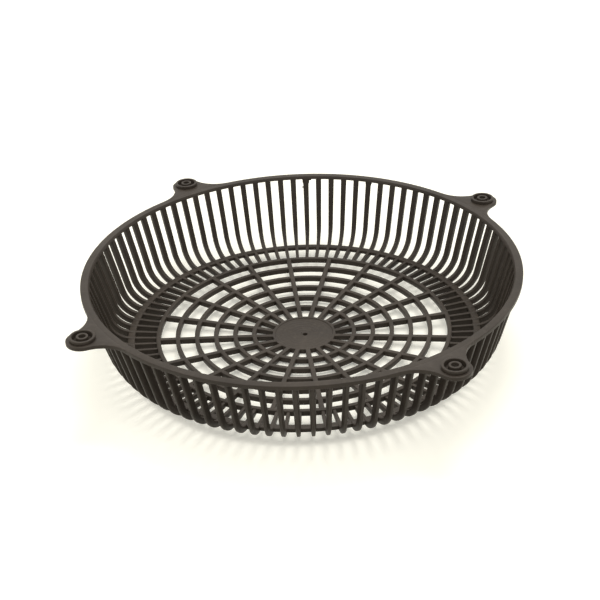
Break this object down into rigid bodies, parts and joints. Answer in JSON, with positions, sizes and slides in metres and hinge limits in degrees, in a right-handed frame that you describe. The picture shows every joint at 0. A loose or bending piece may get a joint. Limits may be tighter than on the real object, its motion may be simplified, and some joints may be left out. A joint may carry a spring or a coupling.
{
  "type": "fan guard",
  "caption": "Bowl-shaped moulded plastic finger guard for an axial cooling fan, with slatted wall, ringed floor, solid hub and screw ears.",
  "frame": {"origin": "on the guard's axis, at the underside of the hub disc that it rests on", "axes": "+Z along the axis, out of the bowl through the rim; the four screw ears lie on the diagonals between X and Y"},
  "size_m": [0.3398, 0.34, 0.07],
  "materials": {
    "guard_plastic": "satin black-brown, as moulded"
  },
  "bodies": {
    "root": {"fan_guard": "guard_plastic"}
  },
  "joints": []
}
